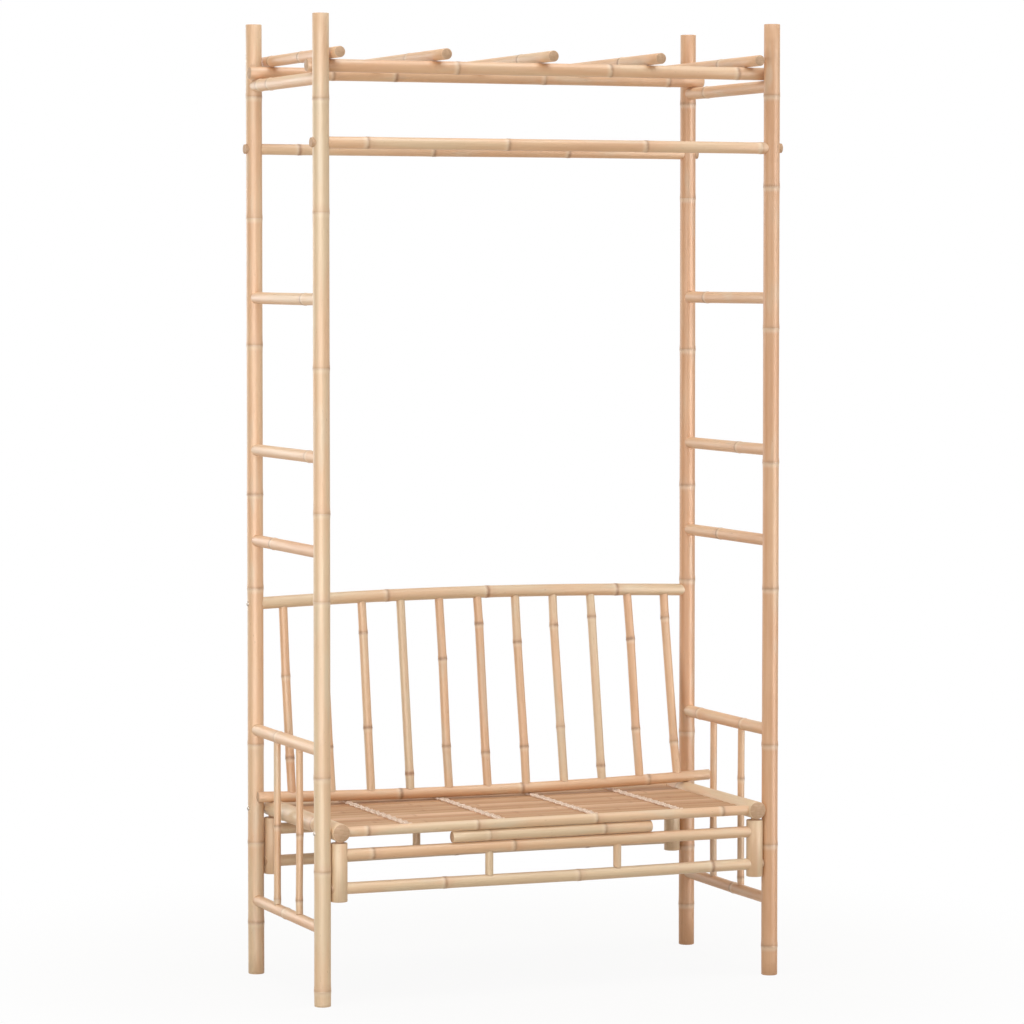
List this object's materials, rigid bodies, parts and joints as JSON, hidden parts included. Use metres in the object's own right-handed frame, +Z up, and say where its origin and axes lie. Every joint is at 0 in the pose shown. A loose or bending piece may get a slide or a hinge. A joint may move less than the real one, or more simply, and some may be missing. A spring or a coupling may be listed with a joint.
{
  "type": "arbour seat",
  "caption": "Garden arbour seat in round natural cane: a split-cane bench with an upright slatted back between tall posts under an open bar roof.",
  "frame": {"origin": "on the ground under the middle of the seat, at the bottom centre of the bounding box", "axes": "+Z up, X along the bench, -Y towards the front, the way the sitter looks"},
  "size_m": [1.1472, 0.524, 2.2],
  "materials": {
    "pale_cane": "smooth natural cane with a thin satin lacquer",
    "seat_cane": "split cane strips, darker, satin",
    "lashing_cord": "twisted natural cord",
    "bolt_steel": "dull zinc plated"
  },
  "bodies": {
    "root": {"arm_rail_left": "pale_cane", "arm_rail_right": "pale_cane", "back_rail_low": "pale_cane", "back_rail_top": "pale_cane", "back_slat_01": "pale_cane", "back_slat_02": "pale_cane", "back_slat_03": "pale_cane", "back_slat_04": "pale_cane", "back_slat_05": "pale_cane", "back_slat_06": "pale_cane", "back_slat_07": "pale_cane", "back_slat_08": "pale_cane", "back_slat_09": "pale_cane", "back_slat_10": "pale_cane", "back_slat_11": "pale_cane", "bench_spacers": "pale_cane", "bolts": "bolt_steel", "cord_stitches": "lashing_cord", "foot_rail_left": "pale_cane", "foot_rail_right": "pale_cane", "header_rail_back": "pale_cane", "header_rail_front": "pale_cane", "leg_back_left": "pale_cane", "leg_back_right": "pale_cane", "leg_front_left": "pale_cane", "leg_front_right": "pale_cane", "lower_rail_back": "pale_cane", "lower_rail_front": "pale_cane", "post_back_left": "pale_cane", "post_back_right": "pale_cane", "post_front_left": "pale_cane", "post_front_right": "pale_cane", "roof_bar_1": "pale_cane", "roof_bar_2": "pale_cane", "roof_bar_3": "pale_cane", "roof_bar_4": "pale_cane", "roof_bar_5": "pale_cane", "roof_beam_back": "pale_cane", "roof_beam_front": "pale_cane", "roof_side_rail_left": "pale_cane", "roof_side_rail_right": "pale_cane", "rung_left_high": "pale_cane", "rung_left_low": "pale_cane", "rung_left_middle": "pale_cane", "rung_right_high": "pale_cane", "rung_right_low": "pale_cane", "rung_right_middle": "pale_cane", "seat_bearers": "seat_cane", "seat_rail_back": "pale_cane", "seat_rail_front": "pale_cane", "seat_side_rail_left": "pale_cane", "seat_side_rail_right": "pale_cane", "seat_strips": "seat_cane", "spindle_left_back": "pale_cane", "spindle_left_front": "pale_cane", "spindle_right_back": "pale_cane", "spindle_right_front": "pale_cane", "upper_rail_back": "pale_cane", "upper_rail_front": "pale_cane", "wedged_pole": "pale_cane"}
  },
  "joints": []
}
